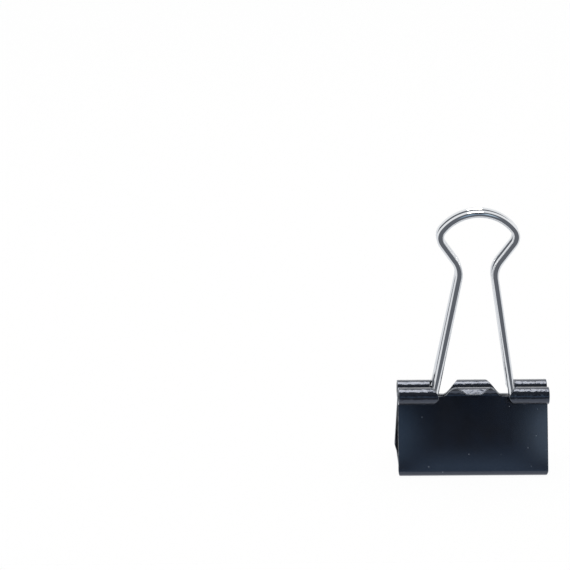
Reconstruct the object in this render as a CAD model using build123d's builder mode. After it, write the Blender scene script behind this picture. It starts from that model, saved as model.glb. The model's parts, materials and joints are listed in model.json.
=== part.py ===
from build123d import *
from math import acos, asin, atan2, cos, degrees, radians, sin, tan
import os

# A binder clip: one folded strip of spring steel with two wire handles, standing on its spine.
# Millimetres. X runs along the spine, -Y is the front jaw's side, and +Z points to the handles' tops.
# The origin is the middle of the spine's underside. The clip is closed and both handles are up.

# Clamp: the strip that makes the spine, the two jaws and their rolled eyes
clip_width = 25.0         # length of the spine and of the jaws, along X
sheet = 0.30              # thickness of the spring steel
bend_spacing = 9.30       # between the centres of the two bottom bends, along Y
bend_radius = 0.90        # outside of the bottom bends
eye_height = 13.10        # from the underside of the spine to the axis of the rolled eyes
eye_radius = 1.46         # outside of the rolled eyes
eye_seam = 0.10           # left open between a roll's last edge and the jaw it rolls back to
lip_gap = 0.30            # between the two closed jaws at their lips

# Tab: the tongue left between the two handle notches of a jaw, curled over like the eyes
tab_root_width = 9.20     # where it leaves the jaw
tab_tip_width = 2.30      # at its last edge
tab_curl = 171.5          # degrees of roll, which is less than the eyes have

# Handle: one springy wire whose two feet turn outwards into the eyes
wire = 1.20               # diameter of the wire
foot_spread = 12.90       # between the two legs, produced to the axis of the eyes
foot_recess = 1.60        # from the outer end of an eye to the cut end of the foot inside it
foot_bend = 0.90          # centreline radii of the bends
neck_bend = 4.20
shoulder_bend = 2.00
neck_height = 22.10       # above the axis of the eyes
neck_width = 5.40         # between centrelines, before the neck is rounded
shoulder_angle = 35.5     # degrees that the wire flares from the neck to the shoulder
crown_height = 31.58      # above the axis of the eyes, to the wire's centreline
crown_radius = 7.25       # of the shallow arc over the top
crown_gap = 0.43          # between the two raised handles, which lean together
leg_clearance = 0.17      # between a leg and the end of the eye beside it

# Places in the side view, as (Y, Z), and angles in it, counted from +Y towards +Z
half_width = clip_width / 2
bend_centre = Vector(-bend_spacing / 2, bend_radius)
bend_line_radius = bend_radius - sheet / 2
eye_centre = Vector(-lip_gap / 2 - eye_radius, eye_height)
eye_line_radius = eye_radius - sheet / 2
eye_curl = 360 - degrees(acos((eye_radius - sheet - eye_seam) / eye_radius))

# A jaw's outer face is tangent to the outside of its bend, and its inner face to its eye, so the
# jaw leans in from upright by this much.
bend_to_eye = eye_centre - bend_centre
tangent_offset = bend_radius - sheet + eye_radius
jaw_lean = degrees(atan2(bend_to_eye.X, bend_to_eye.Y) + asin(tangent_offset / bend_to_eye.length))
lip = eye_centre + Vector(cos(radians(jaw_lean)), -sin(radians(jaw_lean))) * eye_line_radius

# The strip flexes at the middle of each bend: the spine ends and the jaw begins there.
spine_angle = 270
jaw_angle = 180 - jaw_lean
flex_angle = (spine_angle + jaw_angle) / 2

# Places in a handle's own plane, as (across the clip, up from the axis of the eyes)
half_foot = foot_spread / 2
foot_end = half_width - foot_recess
half_neck = neck_width / 2
leg_angle = atan2(half_foot - half_neck, neck_height)
flare = Vector(sin(radians(shoulder_angle)), cos(radians(shoulder_angle)))

# The flare from the neck meets the crown's arc at the shoulder.
neck = Vector(half_neck, neck_height)
neck_from_crown_centre = neck - Vector(0, crown_height - crown_radius)
half_chord = neck_from_crown_centre.dot(flare)
outside_arc = neck_from_crown_centre.length**2 - crown_radius**2
shoulder = neck + flare * ((half_chord**2 - outside_arc) ** 0.5 - half_chord)

# The handles lean in until only the crown gap is left between them.
handle_lean = asin((-eye_centre.X - wire / 2 - crown_gap / 2) / crown_height)

# An eye starts where the leg beside it has its clearance from the roll.
leg_at_roll = half_foot - (eye_radius - sheet) * tan(leg_angle)
eye_start = leg_at_roll + (wire / 2 + leg_clearance) / cos(leg_angle)

# Spine: the flat underside with the lower half of each bend
with BuildPart() as spine:
    with BuildSketch(Plane.YZ):
        with BuildLine():
            lower_bend = CenterArc(bend_centre, bend_line_radius, flex_angle, spine_angle - flex_angle)
            Line(lower_bend @ 1, (0, sheet / 2))
            mirror(about=Plane.YZ)
        trace(line_width=sheet)
    extrude(amount=half_width, both=True)

# Tab: curled about the axis of the eyes, and a trapezium as seen along the jaw
along_jaw = Vector(0, sin(radians(jaw_lean)), cos(radians(jaw_lean)))
with BuildPart() as tab:
    with BuildSketch(Plane.YZ):
        with BuildLine():
            CenterArc(eye_centre, eye_line_radius, -jaw_lean, tab_curl)
        trace(line_width=sheet)
    extrude(amount=tab_root_width / 2, both=True)
    with BuildSketch(Plane(origin=(0, eye_centre.X, eye_centre.Y), x_dir=(1, 0, 0), z_dir=along_jaw)):
        with BuildLine():
            Polyline(
                (-tab_root_width / 2, eye_radius),
                (tab_root_width / 2, eye_radius),
                (tab_tip_width / 2, -eye_radius),
                (-tab_tip_width / 2, -eye_radius),
                close=True,
            )
        make_face()
    extrude(amount=2 * eye_radius, both=True, mode=Mode.INTERSECT)

# Front jaw: the upper half of the bend and the flat jaw, with an eye at each end and the tab between
with BuildPart() as front_jaw:
    with BuildSketch(Plane.YZ):
        with BuildLine():
            upper_bend = CenterArc(bend_centre, bend_line_radius, flex_angle, jaw_angle - flex_angle)
            Line(upper_bend @ 1, lip)
        trace(line_width=sheet)
    extrude(amount=half_width, both=True)
    for end in (-1, 1):
        with BuildSketch(Plane.YZ.offset(end * eye_start)):
            with BuildLine():
                CenterArc(eye_centre, eye_line_radius, -jaw_lean, eye_curl)
            trace(line_width=sheet)
        extrude(amount=end * (half_width - eye_start))
    add(tab.part)

# Rear jaw: the other side of the same strip
with BuildPart() as rear_jaw:
    mirror(front_jaw.part, about=Plane.XZ)

# Front handle: its feet lie on the axis of the front eyes, and it leans in from upright
handle_up = Vector(0, sin(handle_lean), cos(handle_lean))
handle_normal = Vector(1, 0, 0).cross(handle_up)
with BuildPart() as front_handle:
    handle_plane = Plane(origin=(0, eye_centre.X, eye_centre.Y), x_dir=(1, 0, 0), z_dir=handle_normal)
    with BuildLine(handle_plane) as centreline:
        leg = Polyline(
            (foot_end, 0),
            (half_foot, 0),
            (half_neck, neck_height),
            (shoulder.X, shoulder.Y),
        )
        ThreePointArc(leg @ 1, (0, crown_height), (-shoulder.X, shoulder.Y))
        mirror(leg, about=Plane.YZ)
        feet, necks, shoulders = centreline.vertices().group_by(Axis.Z)
        fillet(shoulders, shoulder_bend)
        fillet(necks, neck_bend)
        fillet(feet.sort_by(Axis.X)[1:-1], foot_bend)
    with BuildSketch(Plane(origin=centreline.wires()[0] @ 0, z_dir=(1, 0, 0))):
        Circle(wire / 2)
    sweep()

# Rear handle: the same handle in the rear eyes
with BuildPart() as rear_handle:
    mirror(front_handle.part, about=Plane.XZ)

os.makedirs("parts", exist_ok=True)
spine.part.label = "spine"
export_step(spine.part, "parts/spine.step")
front_jaw.part.label = "front_jaw"
export_step(front_jaw.part, "parts/front_jaw.step")
rear_jaw.part.label = "rear_jaw"
export_step(rear_jaw.part, "parts/rear_jaw.step")
front_handle.part.label = "front_handle"
export_step(front_handle.part, "parts/front_handle.step")
rear_handle.part.label = "rear_handle"
export_step(rear_handle.part, "parts/rear_handle.step")
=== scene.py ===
"""Finished surfaces of a binder clip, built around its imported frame.

The strip of lacquered spring steel is drawn in flat coordinates, across and along the strip, and
then rolled up: along its path it is the spine, a bottom bend, a jaw and the rolled eyes and tab.
Each wire handle is swept along a centreline of straight runs and arcs.
"""

import json
from math import acos, asin, atan2, cos, pi, radians, sin, sqrt, tan

import bmesh
import bpy
from bpy.props import FloatProperty, FloatVectorProperty, PointerProperty, StringProperty
from mathutils import Matrix, Vector


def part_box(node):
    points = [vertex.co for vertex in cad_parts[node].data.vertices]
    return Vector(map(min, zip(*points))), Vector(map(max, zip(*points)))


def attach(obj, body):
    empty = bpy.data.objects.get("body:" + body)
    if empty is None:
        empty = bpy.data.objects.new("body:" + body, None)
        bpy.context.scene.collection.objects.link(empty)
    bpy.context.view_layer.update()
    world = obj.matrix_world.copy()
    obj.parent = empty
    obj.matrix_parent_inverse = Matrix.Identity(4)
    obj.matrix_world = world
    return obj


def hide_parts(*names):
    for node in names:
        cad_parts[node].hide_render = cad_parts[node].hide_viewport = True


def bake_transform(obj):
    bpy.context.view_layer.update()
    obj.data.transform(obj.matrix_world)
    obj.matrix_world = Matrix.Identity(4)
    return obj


bl_info = {
    "name": "Binder Clip",
    "version": (1, 0, 0),
    "blender": (4, 5, 0),
    "location": "3D View > Sidebar > Binder Clip",
    "description": "Builds the finished surfaces of a binder clip around its frame",
    "category": "Add Mesh",
}

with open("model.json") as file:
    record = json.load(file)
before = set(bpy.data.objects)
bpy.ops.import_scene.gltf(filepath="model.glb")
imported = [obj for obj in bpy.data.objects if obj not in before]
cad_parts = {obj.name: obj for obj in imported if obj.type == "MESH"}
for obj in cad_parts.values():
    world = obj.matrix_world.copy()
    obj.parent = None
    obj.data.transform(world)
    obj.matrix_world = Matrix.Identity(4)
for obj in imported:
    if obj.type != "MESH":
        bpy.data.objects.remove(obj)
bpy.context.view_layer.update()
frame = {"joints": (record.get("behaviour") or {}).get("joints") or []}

MM = 0.001

# Mesh attributes that the materials read: coordinates in millimetres, and where an edge wears
STRIP_COORDS = "strip_coords"
WIRE_COORDS = "wire_coords"
EDGE_WEAR = "edge_wear"

# Places that the frame gives, in metres, and how far a handle folds
JOINTS = {joint["name"]: joint for joint in frame["joints"]}
JAW_LOW, JAW_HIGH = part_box("front_jaw")
HANDLE_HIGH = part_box("front_handle")[1]
EYE_AXIS = Vector(JOINTS["front_handle_fold"]["pos_m"])
HANDLE_FOLD = radians(JOINTS["front_handle_fold"]["range_deg"][1])

# The seam between the spine and a jaw lies this many millimetres past the bend, on the flat.
SEAM_INSET = 0.3
# How finely the strip is divided: in millimetres, and as angles round its bends and rolls
EDGE_MARGIN = 0.12
LEAST_STEP = 0.05
FLAT_STEP = 0.8
SPINE_STEP = 1.0
BEND_STEP = radians(5)
ROLL_STEP = radians(4)
# Levels round a corner, as shares of its radius, and back from a cut edge, in millimetres
CORNER_SHARES = (0.16, 0.36, 0.64, 1.0)
TAB_TIP_LEVELS = (0.0, 0.08, 0.17, 0.3)
EYE_LAST_LEVELS = (0.0, 0.08, 0.2, 0.35)
# Cells across the strip
EYE_CELLS, NOTCH_CELLS, TAB_CELLS, SPINE_CELLS = 6, 2, 8, 14

# The wire's mesh. Its cut ends are eased by a share of its radius.
WIRE_SIDES = 40
ARC_STEP = radians(3)
WIRE_END_EASE = 0.15

# The stage: lengths in metres, the share of the card that the eye sees through, and the camera's sensor
# in millimetres
FLOOR_DROP = 0.00002
FLOOR_CLEARNESS = 0.965
SOFTBOX_SIZE = (0.20, 0.306)
SOFTBOX_TILT = radians(8)
SOFTBOX_DISTANCE = 0.5
SOFTBOX_COLOUR = "FFF8EC"
SENSOR_WIDTH = 36


# ---------------------------------------------------------------- sizes and colours


class ClampSettings(bpy.types.PropertyGroup):
    """The folded strip of spring steel, with its eyes and tabs."""

    width: FloatProperty(
        name="Width", description="Length of the spine and the jaws",
        default=JAW_HIGH.x - JAW_LOW.x, unit="LENGTH",
    )
    sheet: FloatProperty(
        name="Sheet", description="Thickness of the spring steel",
        default=0.00030, unit="LENGTH",
    )
    bend_spacing: FloatProperty(
        name="Bend spacing", description="Between the centres of the bottom bends",
        default=0.00930, unit="LENGTH",
    )
    bend_radius: FloatProperty(
        name="Bend radius", description="Outside of the bottom bends",
        default=0.00090, unit="LENGTH",
    )
    eye_seam: FloatProperty(
        name="Eye seam", description="Left open between an eye's last edge and the jaw",
        default=0.00010, unit="LENGTH",
    )
    eye_end: FloatProperty(
        name="Eye end", description="From the middle of the clip to an eye's inner end",
        default=0.00708, unit="LENGTH",
    )
    nose_reach: FloatProperty(
        name="Nose reach", description="How far the retaining nose stands out of the eye's end",
        default=0.00122, unit="LENGTH",
    )
    nose_length: FloatProperty(
        name="Nose length", description="Half of the nose's foot, along the roll",
        default=0.00206, unit="LENGTH",
    )
    tab_root: FloatProperty(
        name="Tab root", description="Width of the tab where it leaves the jaw",
        default=0.00920, unit="LENGTH",
    )
    tab_tip: FloatProperty(
        name="Tab tip", description="Width of the tab at its last edge",
        default=0.00264, unit="LENGTH",
    )
    tab_shoulder: FloatProperty(
        name="Tab shoulder", description="How far the tab's edge stands out over the top",
        default=0.00020, unit="LENGTH",
    )
    tab_curl: FloatProperty(
        name="Tab curl", description="How far the tab curls over",
        default=radians(149.5), subtype="ANGLE",
    )
    tab_end: FloatProperty(
        name="Tab end", description="Straight part of the tab beyond its curl",
        default=0.00050, unit="LENGTH",
    )
    spine_inset: FloatProperty(
        name="Spine inset", description="How much the strip draws in at each end of the spine",
        default=0.00030, unit="LENGTH",
    )
    notch_corner: FloatProperty(
        name="Notch corner", description="Radius in the corners of the handle notches",
        default=0.00050, unit="LENGTH",
    )
    crown: FloatProperty(
        name="Crown", description="How far the middle of a jaw bulges",
        default=0.00019, unit="LENGTH",
    )
    burr: FloatProperty(
        name="Edge rounding", description="Rounding of the sheared edges",
        default=0.000045, unit="LENGTH",
    )
    lacquer: StringProperty(
        name="Lacquer", description="Colour of the black lacquer, as sRGB hex",
        default="222429",
    )
    bare_edge: StringProperty(
        name="Worn edge", description="Colour of the steel that shows at worn edges, as sRGB hex",
        default="9AA0A8",
    )


class HandleSettings(bpy.types.PropertyGroup):
    """The two wire handles."""

    wire: FloatProperty(
        name="Wire", description="Diameter of the wire",
        default=0.00120, unit="LENGTH",
    )
    foot_spread: FloatProperty(
        name="Foot spread", description="Between the legs, at the axis of the eyes",
        default=0.01290, unit="LENGTH",
    )
    foot_bend: FloatProperty(
        name="Foot bend", description="Radius where a foot turns",
        default=0.00090, unit="LENGTH",
    )
    neck_height: FloatProperty(
        name="Neck height", description="Neck above the axis of the eyes",
        default=0.02210, unit="LENGTH",
    )
    neck_width: FloatProperty(
        name="Neck width", description="Across the neck before it is rounded",
        default=0.00540, unit="LENGTH",
    )
    neck_bend: FloatProperty(
        name="Neck bend", description="Radius of the neck",
        default=0.00420, unit="LENGTH",
    )
    flare: FloatProperty(
        name="Flare", description="Angle of the wire from the neck to the shoulder",
        default=radians(35.5), subtype="ANGLE",
    )
    shoulder_bend: FloatProperty(
        name="Shoulder bend", description="Radius of the shoulder",
        default=0.00200, unit="LENGTH",
    )
    crown_height: FloatProperty(
        name="Crown height", description="Crown above the axis of the eyes",
        default=0.03158, unit="LENGTH",
    )
    crown_radius: FloatProperty(
        name="Crown radius", description="Radius of the arc over the top",
        default=0.00725, unit="LENGTH",
    )
    nickel: StringProperty(
        name="Nickel", description="Colour of the plating, as sRGB hex",
        default="E6E8EA",
    )


class StudioSettings(bpy.types.PropertyGroup):
    """Camera, light and floor."""

    camera_place: FloatVectorProperty(
        name="Camera place", description="Where the camera stands",
        default=(-0.03228, -0.27757, 0.13747), subtype="TRANSLATION", unit="LENGTH",
    )
    camera_pitch: FloatProperty(
        name="Camera pitch", description="How far the camera looks down",
        default=radians(20.7316), subtype="ANGLE",
    )
    camera_yaw: FloatProperty(
        name="Camera yaw", description="How far the camera turns to the right",
        default=radians(0.2175), subtype="ANGLE",
    )
    camera_roll: FloatProperty(
        name="Camera roll", description="How far the camera tips to the left",
        default=radians(0.2716), subtype="ANGLE",
    )
    lens: FloatProperty(
        name="Lens", description="Focal length in millimetres",
        default=114.82, unit="CAMERA",
    )
    tent: FloatProperty(
        name="Tent", description="Strength of the light tent's diffuse light",
        default=0.9,
    )
    softbox: FloatProperty(
        name="Softbox", description="Power of the overhead softbox, in watts",
        default=1.25, unit="POWER",
    )
    floor_size: FloatProperty(
        name="Floor", description="Width and depth of the floor",
        default=1.6, unit="LENGTH",
    )
    floor_front: FloatProperty(
        name="Floor's front", description="How far the floor reaches in front of the clip",
        default=0.034, unit="LENGTH",
    )


# ---------------------------------------------------------------- materials

# Shades beside those in the settings, as sRGB hex
THICK_LACQUER = "1A1C20"
LACQUER_SHEEN = "A8C6FF"
DUST = "AEB4BE"
# The cut edge's two greys are lighter than lacquered steel would be: partly bare sheared steel, partly a
# painted glint along the edges.
COATED_EDGE_AND_GLINT = "8E939B"
SHEARED_EDGE_AND_GLINT = "C8CCD2"
THIN_NICKEL = "DDE0E4"

# Depth of the fine relief, in metres
PEEL_DEPTH = 0.000040
HAIRLINE_DEPTH = 0.0000006
SHEAR_DEPTH = 0.000008
DRAW_DEPTH = 0.0000008


def srgb(code):
    """A colour written as sRGB hex, as the linear RGBA that the shaders take."""
    values = [int(code[i : i + 2], 16) / 255 for i in (0, 2, 4)]
    return [v / 12.92 if v <= 0.04045 else ((v + 0.055) / 1.055) ** 2.4 for v in values] + [1.0]


def add_node(tree, kind, inputs=(), **settings):
    """Adds a node, sets it up, and gives each named input a value or a link."""
    node = tree.nodes.new(kind)
    for name, value in settings.items():
        setattr(node, name, value)
    for name, value in dict(inputs).items():
        if isinstance(value, bpy.types.NodeSocket):
            tree.links.new(value, node.inputs[name])
        else:
            node.inputs[name].default_value = value
    return node


def new_material(name):
    """An empty material, its tree, and its output node."""
    material = bpy.data.materials.new(name)
    material.use_nodes = True
    material.node_tree.nodes.clear()
    return material, material.node_tree, add_node(material.node_tree, "ShaderNodeOutputMaterial")


def stoved_black_lacquer(settings):
    """Spring steel strip under stoved black lacquer: a near-black, slightly blue film with the gloss of a
    thin varnish, a fine orange peel that breaks highlights into grains, rubbed edges, and a little dust."""
    material, tree, output = new_material("stoved_black_lacquer")
    strip = add_node(tree, "ShaderNodeAttribute", attribute_name=STRIP_COORDS).outputs["Vector"]
    wear = add_node(tree, "ShaderNodeAttribute", attribute_name=EDGE_WEAR).outputs["Fac"]

    # Orange peel is about 0.35 mm round the rolls and 0.7 mm along them.
    drawn = add_node(tree, "ShaderNodeMapping", {"Vector": strip, "Scale": (1 / 0.7, 1 / 0.35, 1 / 0.35)})
    peel = add_node(
        tree, "ShaderNodeTexNoise",
        {"Vector": drawn.outputs["Vector"], "Scale": 1.0, "Detail": 1.5, "Roughness": 0.5},
    ).outputs["Fac"]
    # The film flows in slow waves about 3.5 mm long.
    flow = add_node(
        tree, "ShaderNodeTexNoise", {"Vector": strip, "Scale": 1 / 3.5, "Detail": 2.0}
    ).outputs["Fac"]
    # The rolling mill leaves hairlines along the spine's length: 0.12 mm apart and 6 mm long.
    stretched = add_node(tree, "ShaderNodeMapping", {"Vector": strip, "Scale": (1 / 6, 1 / 0.12, 1 / 0.12)})
    hairline = add_node(
        tree, "ShaderNodeTexNoise", {"Vector": stretched.outputs["Vector"], "Scale": 1.0, "Detail": 2.0}
    ).outputs["Fac"]

    # Dust grains are about 0.13 mm across. Their cells are 1.9 mm wide, and few are centred in the surface.
    grain = add_node(tree, "ShaderNodeTexVoronoi", {"Vector": strip, "Scale": 1 / 1.9}).outputs["Distance"]
    dust = add_node(
        tree, "ShaderNodeMapRange", {"Value": grain, "From Min": 0.050, "From Max": 0.018}
    ).outputs["Result"]
    # Edges are rubbed in patches about 0.6 mm long.
    patch = add_node(
        tree, "ShaderNodeTexNoise", {"Vector": strip, "Scale": 1 / 0.6, "Detail": 3.0}
    ).outputs["Fac"]
    rub = add_node(
        tree, "ShaderNodeMapRange", {"Value": patch, "From Min": 0.34, "From Max": 0.62, "To Max": 0.85}
    ).outputs["Result"]
    worn = add_node(tree, "ShaderNodeMath", {0: wear, 1: rub}, operation="MULTIPLY").outputs[0]

    film = add_node(
        tree, "ShaderNodeMix", {"Factor": flow, "A": srgb(settings.lacquer), "B": srgb(THICK_LACQUER)},
        data_type="RGBA",
    ).outputs["Result"]
    dusted = add_node(
        tree, "ShaderNodeMix", {"Factor": dust, "A": film, "B": srgb(DUST)}, data_type="RGBA"
    ).outputs["Result"]
    colour = add_node(
        tree, "ShaderNodeMix", {"Factor": worn, "A": dusted, "B": srgb(settings.bare_edge)},
        data_type="RGBA",
    ).outputs["Result"]
    gloss = add_node(
        tree, "ShaderNodeMapRange",
        {"Value": flow, "From Min": 0.3, "From Max": 0.7, "To Min": 0.12, "To Max": 0.19},
    ).outputs["Result"]
    # Where an edge is rubbed bare it is duller than the film.
    roughness = add_node(
        tree, "ShaderNodeMath", {0: worn, 1: 0.30, 2: gloss}, operation="MULTIPLY_ADD"
    ).outputs[0]

    # The film crept as the eyes and the tab were rolled: its orange peel is deeper there than on the flat.
    along = add_node(tree, "ShaderNodeSeparateXYZ", {"Vector": strip}).outputs["Y"]
    rolled = add_node(
        tree, "ShaderNodeMapRange", {"Value": along, "From Min": -0.4, "From Max": 0.6, "To Min": 0.03}
    ).outputs["Result"]
    lines = add_node(
        tree, "ShaderNodeBump", {"Height": hairline, "Distance": HAIRLINE_DEPTH, "Strength": 1.0}
    ).outputs["Normal"]
    skin = add_node(
        tree, "ShaderNodeBump",
        {"Height": peel, "Distance": PEEL_DEPTH, "Strength": rolled, "Normal": lines},
    ).outputs["Normal"]
    surface = add_node(
        tree, "ShaderNodeBsdfPrincipled",
        {
            "Base Color": colour, "Metallic": worn, "Roughness": roughness, "IOR": 1.55,
            "Specular Tint": srgb(LACQUER_SHEEN), "Normal": skin,
            "Coat Weight": 1.0, "Coat Roughness": 0.08, "Coat IOR": 1.5, "Coat Normal": skin,
        },
    )
    tree.links.new(surface.outputs["BSDF"], output.inputs["Surface"])
    return material


def sheared_steel_edge_with_painted_glint():
    """The cut edge of the strip: sheared steel, grainy and dull, under a thin coat of lacquer. Its light
    grey is partly bare steel and partly a painted glint that lightens every cut edge."""
    material, tree, output = new_material("sheared_steel_edge_with_painted_glint")
    strip = add_node(tree, "ShaderNodeAttribute", attribute_name=STRIP_COORDS).outputs["Vector"]
    # The shear tears the steel into a grain about 0.1 mm across.
    grain = add_node(
        tree, "ShaderNodeTexNoise", {"Vector": strip, "Scale": 1 / 0.10, "Detail": 2.0}
    ).outputs["Fac"]
    # The lacquer is thinner, and the steel brighter, in patches about 0.8 mm long. Both greys are lightened
    # as a painted glint.
    patch = add_node(
        tree, "ShaderNodeTexNoise", {"Vector": strip, "Scale": 1 / 0.8, "Detail": 3.0}
    ).outputs["Fac"]
    bare = add_node(
        tree, "ShaderNodeMapRange", {"Value": patch, "From Min": 0.38, "From Max": 0.62}
    ).outputs["Result"]
    # Painted glint: the edge's light grey stands in for light caught along the cut edge.
    colour = add_node(
        tree, "ShaderNodeMix", {"Factor": bare, "A": srgb(COATED_EDGE_AND_GLINT), "B": srgb(SHEARED_EDGE_AND_GLINT)},
        data_type="RGBA",
    ).outputs["Result"]
    relief = add_node(
        tree, "ShaderNodeBump", {"Height": grain, "Distance": SHEAR_DEPTH, "Strength": 1.0}
    ).outputs["Normal"]
    surface = add_node(
        tree, "ShaderNodeBsdfPrincipled",
        {"Base Color": colour, "Metallic": 0.35, "Roughness": 0.45, "Normal": relief},
    )
    tree.links.new(surface.outputs["BSDF"], output.inputs["Surface"])
    return material


def bright_nickel_plated_wire(settings):
    """Hard-drawn spring wire under bright nickel: a mirror that is a little duller in patches, with draw
    lines along the wire."""
    material, tree, output = new_material("bright_nickel_plated_wire")
    wire = add_node(tree, "ShaderNodeAttribute", attribute_name=WIRE_COORDS).outputs["Vector"]
    # Draw lines are about 0.08 mm apart round the wire and 5 mm long.
    stretched = add_node(tree, "ShaderNodeMapping", {"Vector": wire, "Scale": (1 / 0.08, 1 / 0.08, 1 / 5)})
    draw = add_node(
        tree, "ShaderNodeTexNoise", {"Vector": stretched.outputs["Vector"], "Scale": 1.0, "Detail": 2.0}
    ).outputs["Fac"]
    # The plating's thickness changes in patches about 2 mm long.
    cloud = add_node(
        tree, "ShaderNodeTexNoise", {"Vector": wire, "Scale": 1 / 2.0, "Detail": 3.0}
    ).outputs["Fac"]
    colour = add_node(
        tree, "ShaderNodeMix", {"Factor": cloud, "A": srgb(settings.nickel), "B": srgb(THIN_NICKEL)},
        data_type="RGBA",
    ).outputs["Result"]
    roughness = add_node(
        tree, "ShaderNodeMapRange",
        {"Value": cloud, "From Min": 0.3, "From Max": 0.75, "To Min": 0.03, "To Max": 0.07},
    ).outputs["Result"]
    relief = add_node(
        tree, "ShaderNodeBump", {"Height": draw, "Distance": DRAW_DEPTH, "Strength": 1.0}
    ).outputs["Normal"]
    surface = add_node(
        tree, "ShaderNodeBsdfPrincipled",
        {"Base Color": colour, "Metallic": 1.0, "Roughness": roughness, "Normal": relief},
    )
    tree.links.new(surface.outputs["BSDF"], output.inputs["Surface"])
    return material


# ---------------------------------------------------------------- the strip's path


class JawPath:
    """The front half of the strip, in millimetres. u runs along the middle of its thickness, from the spine
    up, and is 0 where the jaw meets the roll of the eyes and the tab. Places are (y, z), and out is towards
    the jaw's outer face."""

    def __init__(self, settings):
        self.sheet = settings.sheet / MM
        self.half_width = settings.width / MM / 2
        self.crown = settings.crown / MM
        self.eye_centre = Vector((EYE_AXIS.y, EYE_AXIS.z)) / MM
        outer_eye = (JAW_HIGH.z - EYE_AXIS.z) / MM
        outer_bend = settings.bend_radius / MM
        self.bend_centre = Vector((-settings.bend_spacing / MM / 2, outer_bend))
        self.bend_radius = outer_bend - self.sheet / 2
        self.eye_radius = outer_eye - self.sheet / 2

        # The jaw's outer face is tangent to its bend, and its inner face to its eye.
        across = self.eye_centre - self.bend_centre
        offset = outer_bend - self.sheet + outer_eye
        self.lean = atan2(across.x, across.y) + asin(offset / across.length)
        self.out = Vector((-cos(self.lean), sin(self.lean)))
        self.up = Vector((sin(self.lean), cos(self.lean)))
        self.lip = self.eye_centre - self.out * self.eye_radius
        jaw_foot = self.bend_centre + self.out * self.bend_radius
        self.jaw_length = (self.lip - jaw_foot).length
        bend_turn = 3 * pi / 2 - (pi - self.lean)
        self.bend_start = -self.jaw_length - self.bend_radius * bend_turn
        self.seam = self.bend_start - SEAM_INSET
        seam_gap = settings.eye_seam / MM
        eye_turn = 2 * pi - acos((outer_eye - self.sheet - seam_gap) / outer_eye)
        self.eye_length = self.eye_radius * eye_turn
        self.tab_curled = self.eye_radius * settings.tab_curl
        self.tab_length = self.tab_curled + settings.tab_end / MM
        self.tab_half = settings.tab_root / MM / 2
        self.inset = settings.spine_inset / MM

    def place(self, x, u, off):
        """The point at x across and u along the strip, and off from its middle towards the outer face."""
        if u > 0:
            straight = max(u - self.tab_curled, 0) if abs(x) < self.tab_half else 0
            angle = (u - straight) / self.eye_radius - self.lean
            arm = Vector((cos(angle), sin(angle)))
            spot = self.eye_centre + arm * (self.eye_radius - off) + Vector((-arm.y, arm.x)) * straight
        elif u > -self.jaw_length:
            share = -u / self.jaw_length
            bulge = self.crown * 4 * share * (1 - share) * (1 - (x / self.half_width) ** 4)
            spot = self.lip + self.up * u + self.out * (off + bulge)
        elif u > self.bend_start:
            angle = 3 * pi / 2 - (u - self.bend_start) / self.bend_radius
            arm = Vector((cos(angle), sin(angle)))
            spot = self.bend_centre + arm * (self.bend_radius + off)
        else:
            spot = Vector((self.bend_centre.x - (u - self.bend_start), self.sheet / 2 - off))
        return Vector((x, spot.x, spot.y))

    def side(self, u):
        """Half of the strip's width: the bend draws it in a little towards the spine."""
        into_bend = min(max((-self.jaw_length - u) / (-self.jaw_length - self.bend_start), 0), 1)
        return self.half_width - self.inset * (3 - 2 * into_bend) * into_bend**2


class JawOutline:
    """Where the jaw's edges lie across the strip, in millimetres, at a place u along it."""

    def __init__(self, settings, path, leg_lean):
        self.path = path
        self.eye_end = settings.eye_end / MM
        self.nose_reach = settings.nose_reach / MM
        self.nose_half = settings.nose_length / MM
        self.tab_root = path.tab_half
        self.shoulder = settings.tab_shoulder / MM
        self.taper = (self.tab_root - settings.tab_tip / MM / 2) / path.tab_length
        self.corner = settings.notch_corner / MM
        self.tip_corner = self.corner / 2
        # The nose stands midway between the raised and the folded leg.
        self.nose_middle = path.eye_radius * (pi / 2 - leg_lean + path.lean + HANDLE_FOLD / 2)

    def eye(self, u):
        """The eye's inner end, with the nose that holds the leg up or folded."""
        edge = self.eye_end
        nose = (u - self.nose_middle) / self.nose_half
        if abs(nose) < 1:
            edge -= self.nose_reach * cos(nose * pi / 2) ** 2
        into_corner = self.corner - u
        if into_corner > 0:
            edge -= self.corner - sqrt(max(self.corner**2 - into_corner**2, 0))
        past_corner = u - (self.path.eye_length - self.corner)
        if past_corner > 0:
            edge += self.corner - sqrt(max(self.corner**2 - past_corner**2, 0))
        return edge

    def tab(self, u):
        """The tab's edge: it tapers, with shoulders over the top, a rounded foot and a rounded tip."""
        slope = sqrt(1 + self.taper**2)
        foot_middle = self.tab_root - self.taper * self.corner + self.corner * slope
        tip_level = self.path.tab_length - self.tip_corner
        tip_middle = self.tab_root - self.taper * tip_level - self.tip_corner * slope
        if u < self.corner - self.corner * self.taper / slope:
            return foot_middle - sqrt(max(self.corner**2 - (self.corner - u) ** 2, 0))
        if u > tip_level + self.tip_corner * self.taper / slope:
            return tip_middle + sqrt(max(self.tip_corner**2 - (u - tip_level) ** 2, 0))
        over_top = max(2 * u / self.path.tab_length - 1, 0)
        return self.tab_root - self.taper * u + self.shoulder * sin(pi * over_top) ** 2


# ---------------------------------------------------------------- meshes


def spread(start, end, step):
    """Evenly spaced values from start to end, at most about step apart."""
    count = max(1, round(abs(end - start) / step))
    return [start + (end - start) * i / count for i in range(count + 1)]


def merged(values, apart):
    """The values in order, leaving out any that is nearer than apart to one kept before it in the list."""
    kept = []
    for value in values:
        if all(abs(value - other) > apart for other in kept):
            kept.append(value)
    return sorted(kept)


def columns(left, right, cells):
    """Lines across a block of sheet that divide it into cells, with a narrow one beside each edge."""
    count = cells - 2
    width = right - left - 2 * EDGE_MARGIN
    inner = [left + EDGE_MARGIN + width * i / count for i in range(count + 1)]
    return [left, *inner, right]


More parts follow.
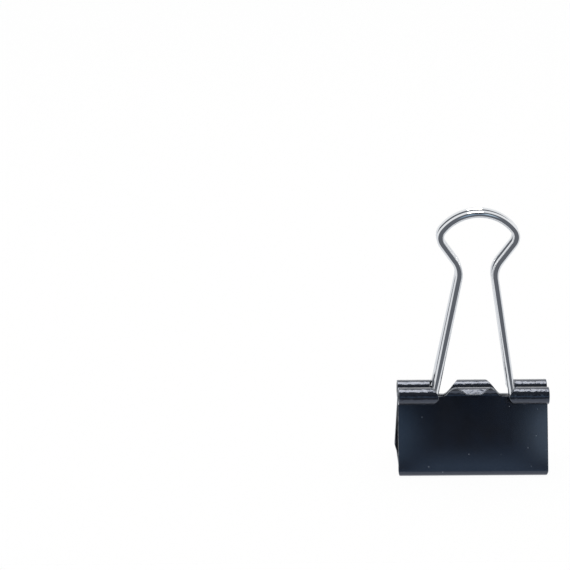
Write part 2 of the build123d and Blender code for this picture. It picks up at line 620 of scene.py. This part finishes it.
def sheet_mesh(levels, lines, present, place, seams, half_sheet):
    """A strip of sheet as a closed bmesh in millimetres. levels are the places along it and lines(u) those
    across it. present(row, line) says which cells hold metal, and place(x, u, off) where a point lies. Cut
    edges are marked for rounding, apart from the seam rows, where the next piece of the strip begins."""
    bm = bmesh.new()
    coords = bm.verts.layers.float_vector.new(STRIP_COORDS)
    wear = bm.verts.layers.float.new(EDGE_WEAR)
    rounding = bm.edges.layers.float.new("bevel_weight_edge")
    corners = {}

    def corner(row, line, side):
        key = (row, line, side)
        if key not in corners:
            u = levels[row]
            x = lines(u)[line]
            off = side * half_sheet
            corners[key] = bm.verts.new(place(x, u, off))
            corners[key][coords] = (x, u, off)
        return corners[key]

    cells = len(lines(levels[0])) - 1
    uses = {}
    for row in range(len(levels) - 1):
        for line in range(cells):
            if present(row, line):
                ring = [(row, line), (row, line + 1), (row + 1, line + 1), (row + 1, line)]
                bm.faces.new([corner(*spot, 1) for spot in ring])
                bm.faces.new([corner(*spot, -1) for spot in reversed(ring)])
                for a, b in zip(ring, ring[1:] + ring[:1]):
                    uses.setdefault(frozenset((a, b)), []).append((a, b))
    for pair in uses.values():
        if len(pair) == 1:
            a, b = pair[0]
            wall = bm.faces.new([corner(*b, 1), corner(*a, 1), corner(*a, -1), corner(*b, -1)])
            wall.material_index = 1
            at_seam = a[0] == b[0] and a[0] in seams
            for side in (1, -1):
                edge = bm.edges.get((corner(*a, side), corner(*b, side)))
                edge[rounding] = 0.0 if at_seam else 1.0
                edge.smooth = not at_seam
            if not at_seam:
                for spot in (a, b):
                    for side in (1, -1):
                        corner(*spot, side)[wear] = 1.0
    bmesh.ops.recalc_face_normals(bm, faces=bm.faces)
    return bm


def finished(name, bm, materials, burr=0.0):
    """The bmesh as an object in metres, its marked edges rounded by burr millimetres."""
    mesh = bpy.data.meshes.new(name)
    bm.to_mesh(mesh)
    bm.free()
    mesh.shade_smooth()
    piece = bpy.data.objects.new(name, mesh)
    bpy.context.scene.collection.objects.link(piece)
    for material in materials:
        mesh.materials.append(material)
    if burr:
        rounding = piece.modifiers.new("rounded edges", "BEVEL")
        rounding.limit_method = "WEIGHT"
        rounding.width = burr
        rounding.segments = 2
        rounding.use_clamp_overlap = False
        evaluated = piece.evaluated_get(bpy.context.evaluated_depsgraph_get())
        rounded = bpy.data.meshes.new_from_object(evaluated)
        piece.modifiers.clear()
        piece.data = rounded
        bpy.data.meshes.remove(mesh)
        rounded.name = name
    piece.data.transform(Matrix.Scale(MM, 4))
    return piece


def mirrored(bm):
    """The same mesh on the other side of the plane between the jaws."""
    bmesh.ops.scale(bm, vec=(1, -1, 1), verts=bm.verts)
    bmesh.ops.reverse_faces(bm, faces=bm.faces)
    return bm


def jaw_mesh(settings, path, leg_lean):
    """Half of a bottom bend, a jaw, its eyes and its tab, as one piece of strip."""
    outline = JawOutline(settings, path, leg_lean)
    lip_margin = -2 * EDGE_MARGIN
    corner_levels = [outline.corner * share for share in CORNER_SHARES]
    fixed = [path.seam, path.bend_start, -path.jaw_length, lip_margin, 0.0, *corner_levels]
    fixed += [path.tab_length - back for back in TAB_TIP_LEVELS]
    fixed += [path.eye_length - back for back in EYE_LAST_LEVELS]
    steady = (
        spread(path.bend_start, -path.jaw_length, path.bend_radius * BEND_STEP)
        + spread(-path.jaw_length, lip_margin, FLAT_STEP)
        + spread(corner_levels[-1], path.eye_length, path.eye_radius * ROLL_STEP)
    )
    levels = merged(fixed + steady, LEAST_STEP)
    notch_row = levels.index(0.0)
    tab_row = levels.index(path.tab_length)

    def lines(u):
        eye = outline.eye(max(u, 0.0))
        tab = outline.tab(min(max(u, 0.0), path.tab_length))
        notch = spread(tab, eye, (eye - tab) / NOTCH_CELLS)
        half = notch[:-1] + columns(eye, path.side(u), EYE_CELLS)
        return [-x for x in reversed(half)] + columns(-tab, tab, TAB_CELLS)[1:-1] + half

    notches = set()
    for first in (EYE_CELLS, EYE_CELLS + NOTCH_CELLS + TAB_CELLS):
        notches.update(range(first, first + NOTCH_CELLS))
    tabs = range(EYE_CELLS + NOTCH_CELLS, EYE_CELLS + NOTCH_CELLS + TAB_CELLS)

    def present(row, line):
        if line in notches:
            return row < notch_row
        return row < tab_row if line in tabs else True

    return sheet_mesh(levels, lines, present, path.place, {0}, path.sheet / 2)


def spine_mesh(path):
    """The flat middle of the strip, between the two seams."""
    front = path.bend_centre.x + SEAM_INSET
    half = path.half_width - path.inset
    across = columns(-half, half, SPINE_CELLS)
    levels = spread(path.seam + 2 * front, path.seam, SPINE_STEP)

    def lines(u):
        return across

    def present(row, line):
        return True

    def place(x, u, off):
        return Vector((x, front + path.seam - u, path.sheet / 2 - off))

    return sheet_mesh(levels, lines, present, place, {0, len(levels) - 1}, path.sheet / 2)


def arc(centre, first, last):
    """Points on the shorter arc about centre, from first to last."""
    arm, end = first - centre, last - centre
    turn = atan2(arm.x * end.y - arm.y * end.x, arm.dot(end))
    start = atan2(arm.y, arm.x)
    return [
        centre + Vector((cos(start + turn * share), sin(start + turn * share))) * arm.length
        for share in spread(0.0, 1.0, ARC_STEP / abs(turn))
    ]


def rounded_corner(before, corner, after, radius):
    """The arc that rounds the corner between two straight runs."""
    back, on = (before - corner).normalized(), (after - corner).normalized()
    half = back.angle(on) / 2
    centre = corner + (back + on).normalized() * radius / sin(half)
    reach = radius / tan(half)
    return arc(centre, corner + back * reach, corner + on * reach)


def handle_centreline(settings):
    """The centreline of a handle in its own plane, in millimetres, as (across, up from the eyes' axis)."""
    foot_end = Vector((HANDLE_HIGH.x / MM, 0))
    foot = Vector((settings.foot_spread / MM / 2, 0))
    neck = Vector((settings.neck_width / MM / 2, settings.neck_height / MM))
    flare = Vector((sin(settings.flare), cos(settings.flare)))
    crown_radius = settings.crown_radius / MM
    crown_top = Vector((0, settings.crown_height / MM))
    crown_centre = crown_top - Vector((0, crown_radius))

    # The shoulder's arc is tangent to the flare and, from inside, to the crown.
    shoulder_radius = settings.shoulder_bend / MM
    inward = Vector((-flare.y, flare.x))
    start = neck + inward * shoulder_radius - crown_centre
    along = start.dot(flare)
    reach = sqrt(along**2 - start.length_squared + (crown_radius - shoulder_radius) ** 2) - along
    shoulder_centre = crown_centre + start + flare * reach
    shoulder_end = crown_centre + (shoulder_centre - crown_centre).normalized() * crown_radius

    half = [foot_end]
    half += rounded_corner(foot_end, foot, neck, settings.foot_bend / MM)
    half += rounded_corner(foot, neck, neck + flare, settings.neck_bend / MM)
    half += arc(shoulder_centre, shoulder_centre - inward * shoulder_radius, shoulder_end)
    half += arc(crown_centre, shoulder_end, crown_top)[1:]
    return half + [Vector((-spot.x, spot.y)) for spot in reversed(half[:-1])]


def handle_lean(settings):
    """How far a raised handle leans in from upright."""
    half_gap = -HANDLE_HIGH.y
    return asin((-EYE_AXIS.y - settings.wire / 2 - half_gap) / settings.crown_height)


def wire_mesh(settings):
    """The front handle as a bmesh in millimetres, swept along its centreline, its cut ends eased."""
    radius = settings.wire / MM / 2
    flat = handle_centreline(settings)
    axis = EYE_AXIS / MM
    lean = handle_lean(settings)
    up = Vector((0, sin(lean), cos(lean)))
    binormal = Vector((1, 0, 0)).cross(up)
    ease = WIRE_END_EASE * radius
    into = (flat[1] - flat[0]).normalized()
    stations = [(flat[0], radius - ease), (flat[0] + into * ease, radius)]
    stations += [(spot, radius) for spot in flat[1:-1]]
    stations += [(Vector((-spot.x, spot.y)), size) for spot, size in reversed(stations[:2])]

    bm = bmesh.new()
    coords = bm.verts.layers.float_vector.new(WIRE_COORDS)
    rings = []
    travelled = 0.0
    for i, (spot, size) in enumerate(stations):
        back = stations[max(i - 1, 0)][0]
        on = stations[min(i + 1, len(stations) - 1)][0]
        arriving, leaving = spot - back, on - spot
        travelled += arriving.length
        tangent = (arriving.normalized() + leaving.normalized()).normalized()
        side = Vector((tangent.y, -tangent.x))
        middle = axis + Vector((spot.x, 0, 0)) + up * spot.y
        outward = Vector((side.x, 0, 0)) + up * side.y
        ring = []
        for k in range(WIRE_SIDES):
            angle = 2 * pi * k / WIRE_SIDES
            vert = bm.verts.new(middle + (outward * cos(angle) + binormal * sin(angle)) * size)
            vert[coords] = (size * cos(angle), size * sin(angle), travelled)
            ring.append(vert)
        rings.append(ring)
    for ring, after in zip(rings, rings[1:]):
        for k in range(WIRE_SIDES):
            bm.faces.new([ring[k], ring[k - 1], after[k - 1], after[k]])
    for ring in (rings[0], rings[-1]):
        cap = bm.faces.new(ring)
        for edge in cap.edges:
            edge.smooth = False
    bmesh.ops.recalc_face_normals(bm, faces=bm.faces)
    return bm


# ---------------------------------------------------------------- operators


class BuildClamp(bpy.types.Operator):
    """Build the spine and the two jaws of lacquered spring steel"""

    bl_idname = "binder_clip.build_clamp"
    bl_label = "Build clamp"

    def execute(self, context):
        settings = context.scene.binder_clip_clamp
        path = JawPath(settings)
        burr = settings.burr / MM
        leg_lean = handle_lean(context.scene.binder_clip_handles)
        materials = [stoved_black_lacquer(settings), sheared_steel_edge_with_painted_glint()]

        spine = finished("spine_sheet", spine_mesh(path), materials, burr)
        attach(spine, "spine")
        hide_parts("spine")

        for body, flip in (("front_jaw", 1), ("rear_jaw", -1)):
            mesh = jaw_mesh(settings, path, leg_lean)
            jaw = finished(body + "_sheet", mesh if flip > 0 else mirrored(mesh), materials, burr)
            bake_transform(jaw)
            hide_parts(body)
        return {"FINISHED"}


class BuildHandles(bpy.types.Operator):
    """Build the two plated wire handles"""

    bl_idname = "binder_clip.build_handles"
    bl_label = "Build handles"

    def execute(self, context):
        settings = context.scene.binder_clip_handles
        nickel = bright_nickel_plated_wire(settings)
        for body, flip in (("front_handle", 1), ("rear_handle", -1)):
            mesh = wire_mesh(settings)
            handle = finished(body + "_wire", mesh if flip > 0 else mirrored(mesh), [nickel])
            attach(handle, body)
            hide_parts(body)
        return {"FINISHED"}


class BuildStudio(bpy.types.Operator):
    """Set up the floor, the light tent, the softbox and the camera"""

    bl_idname = "binder_clip.build_studio"
    bl_label = "Build studio"

    def execute(self, context):
        settings = context.scene.binder_clip_studio
        scene = context.scene
        add_floor(scene, settings)
        scene.world = light_tent(settings)
        add_softbox(scene, settings)
        add_camera(scene, settings)
        scene.view_settings.view_transform = "Standard"
        return {"FINISHED"}


def add_floor(scene, settings):
    """A white card that the clip stands on. Seen directly it is nearly clear, so that a handle that folds
    below it still shows against the white behind, and only the clip's faint shadow is left on it."""
    half = settings.floor_size / 2
    bm = bmesh.new()
    bmesh.ops.create_grid(bm, x_segments=1, y_segments=1, size=half)
    bmesh.ops.translate(bm, vec=(0, half - settings.floor_front, -FLOOR_DROP), verts=bm.verts)
    mesh = bpy.data.meshes.new("floor")
    bm.to_mesh(mesh)
    bm.free()
    floor = bpy.data.objects.new("floor", mesh)
    scene.collection.objects.link(floor)

    material, tree, output = new_material("white_card")
    ray = add_node(tree, "ShaderNodeLightPath").outputs
    seen = add_node(
        tree, "ShaderNodeMath", {0: ray["Is Camera Ray"], 1: ray["Is Glossy Ray"]}, operation="MAXIMUM"
    ).outputs[0]
    seen = add_node(
        tree, "ShaderNodeMath", {0: seen, 1: ray["Is Transmission Ray"]}, operation="MAXIMUM"
    ).outputs[0]
    clearness = add_node(tree, "ShaderNodeMath", {0: seen, 1: FLOOR_CLEARNESS}, operation="MULTIPLY")
    card = add_node(tree, "ShaderNodeBsdfDiffuse", {"Color": srgb("F4F4F4")})
    # Metal mirrors the card as an even white.
    white = add_node(tree, "ShaderNodeEmission", {"Color": srgb("F2F3F5"), "Strength": 1.0})
    clear = add_node(tree, "ShaderNodeBsdfTransparent")
    plain = add_node(
        tree, "ShaderNodeMixShader", {0: ray["Is Camera Ray"], 1: white.outputs[0], 2: clear.outputs[0]}
    )
    both = add_node(
        tree, "ShaderNodeMixShader", {0: clearness.outputs[0], 1: card.outputs[0], 2: plain.outputs[0]}
    )
    tree.links.new(both.outputs[0], output.inputs["Surface"])
    mesh.materials.append(material)


def light_tent(settings):
    """A white tent behind and above the clip, open to a dim, bluish room in front. The room is darkest in
    the direction that the front jaw mirrors, and lighter to each side of it and below. The background that
    is looked at directly is plain white."""
    world = bpy.data.worlds.new("light_tent")
    world.use_nodes = True
    tree = world.node_tree
    tree.nodes.clear()

    # The middle of the front jaw faces halfway between the camera and the darkest part of the room.
    jaw_middle = Vector((0, (JAW_LOW.y + EYE_AXIS.y) / 2, JAW_HIGH.z / 2))
    to_camera = (Vector(settings.camera_place) - jaw_middle).normalized()
    lean = JawPath(bpy.context.scene.binder_clip_clamp).lean
    facing = Vector((0, -cos(lean), sin(lean)))
    darkest = facing * 2 * facing.dot(to_camera) - to_camera
    rightward = darkest.cross(Vector((0, 0, 1))).normalized() * -1
    upward = darkest.cross(rightward).normalized()
    direction = add_node(tree, "ShaderNodeTexCoord").outputs["Generated"]
    # Each layer lies over the ones before it. Along its axis, it begins at the first cosine and is whole at
    # the second: the glow to the left, to the right and below, the room round them, and the tent.
    layers = (
        (rightward, -0.02, -0.15, "96B2C8"),
        (rightward, 0.02, 0.15, "DCF2FF"),
        (upward, -0.03, -0.16, "A2BCD4"),
        (darkest, cos(radians(11)), cos(radians(20)), "696C72"),
        (Vector((0, -1, 0)), 0.30, 0.10, "FFFFFF"),
    )
    colour = srgb("343539")
    for axis, begins, whole, shade in layers:
        along = add_node(
            tree, "ShaderNodeVectorMath", {0: direction, 1: axis}, operation="DOT_PRODUCT"
        ).outputs["Value"]
        share = add_node(
            tree, "ShaderNodeMapRange", {"Value": along, "From Min": begins, "From Max": whole},
            interpolation_type="SMOOTHSTEP",
        ).outputs["Result"]
        colour = add_node(
            tree, "ShaderNodeMix", {"Factor": share, "A": colour, "B": srgb(shade)}, data_type="RGBA"
        ).outputs["Result"]

    ray = add_node(tree, "ShaderNodeLightPath").outputs
    strength = add_node(
        tree, "ShaderNodeMapRange", {"Value": ray["Is Diffuse Ray"], "To Min": 1.0, "To Max": settings.tent}
    ).outputs["Result"]
    around = add_node(tree, "ShaderNodeBackground", {"Color": colour, "Strength": strength})
    behind = add_node(tree, "ShaderNodeBackground", {"Color": srgb("FFFFFF"), "Strength": 1.0})
    both = add_node(
        tree, "ShaderNodeMixShader", {0: ray["Is Camera Ray"], 1: around.outputs[0], 2: behind.outputs[0]}
    )
    output = add_node(tree, "ShaderNodeOutputWorld")
    tree.links.new(both.outputs[0], output.inputs["Surface"])
    return world


def add_softbox(scene, settings):
    """A softbox overhead, tilted a little back, whose reflection runs along the rolled eyes."""
    light = bpy.data.lights.new("overhead_softbox", "AREA")
    light.shape = "RECTANGLE"
    light.size, light.size_y = SOFTBOX_SIZE
    light.energy = settings.softbox
    light.color = srgb(SOFTBOX_COLOUR)[:3]
    box = bpy.data.objects.new("overhead_softbox", light)
    away = Vector((0, sin(SOFTBOX_TILT), cos(SOFTBOX_TILT))) * SOFTBOX_DISTANCE
    box.location = Vector((0, EYE_AXIS.y, EYE_AXIS.z)) + away
    box.rotation_euler = (-SOFTBOX_TILT, 0, 0)
    scene.collection.objects.link(box)


def add_camera(scene, settings):
    """The camera, looking down at the clip from a little to its left."""
    yaw, pitch, roll = settings.camera_yaw, settings.camera_pitch, settings.camera_roll
    ahead = Vector((sin(yaw) * cos(pitch), cos(yaw) * cos(pitch), -sin(pitch)))
    right = Vector((cos(yaw), -sin(yaw), 0))
    up = right.cross(ahead)
    rolled_right = right * cos(roll) - up * sin(roll)
    rolled_up = right * sin(roll) + up * cos(roll)
    turn = Matrix((rolled_right, rolled_up, -ahead)).transposed()
    optics = bpy.data.cameras.new("camera")
    optics.lens = settings.lens
    optics.sensor_width = SENSOR_WIDTH
    optics.clip_start, optics.clip_end = 0.01, 10
    camera = bpy.data.objects.new("camera", optics)
    camera.matrix_world = Matrix.Translation(settings.camera_place) @ turn.to_4x4()
    scene.collection.objects.link(camera)
    scene.camera = camera


class BinderClipPanel(bpy.types.Panel):
    """Settings and operators of the binder clip."""

    bl_idname = "VIEW3D_PT_binder_clip"
    bl_label = "Binder Clip"
    bl_space_type = "VIEW_3D"
    bl_region_type = "UI"
    bl_category = "Binder Clip"

    def draw(self, context):
        for name, operator in STEPS.items():
            box = self.layout.box()
            settings = getattr(context.scene, name)
            for key in settings.__annotations__:
                box.prop(settings, key)
            box.operator(operator.bl_idname)


SETTINGS = {
    "binder_clip_clamp": ClampSettings,
    "binder_clip_handles": HandleSettings,
    "binder_clip_studio": StudioSettings,
}
STEPS = {
    "binder_clip_clamp": BuildClamp,
    "binder_clip_handles": BuildHandles,
    "binder_clip_studio": BuildStudio,
}
CLASSES = (*SETTINGS.values(), *STEPS.values(), BinderClipPanel)


def register():
    for each in CLASSES:
        bpy.utils.register_class(each)
    for name, group in SETTINGS.items():
        setattr(bpy.types.Scene, name, PointerProperty(type=group))


def unregister():
    for name in SETTINGS:
        delattr(bpy.types.Scene, name)
    for each in reversed(CLASSES):
        bpy.utils.unregister_class(each)


def main():
    register()
    bpy.ops.binder_clip.build_clamp()
    bpy.ops.binder_clip.build_handles()
    bpy.ops.binder_clip.build_studio()


if __name__ == "__main__":
    main()
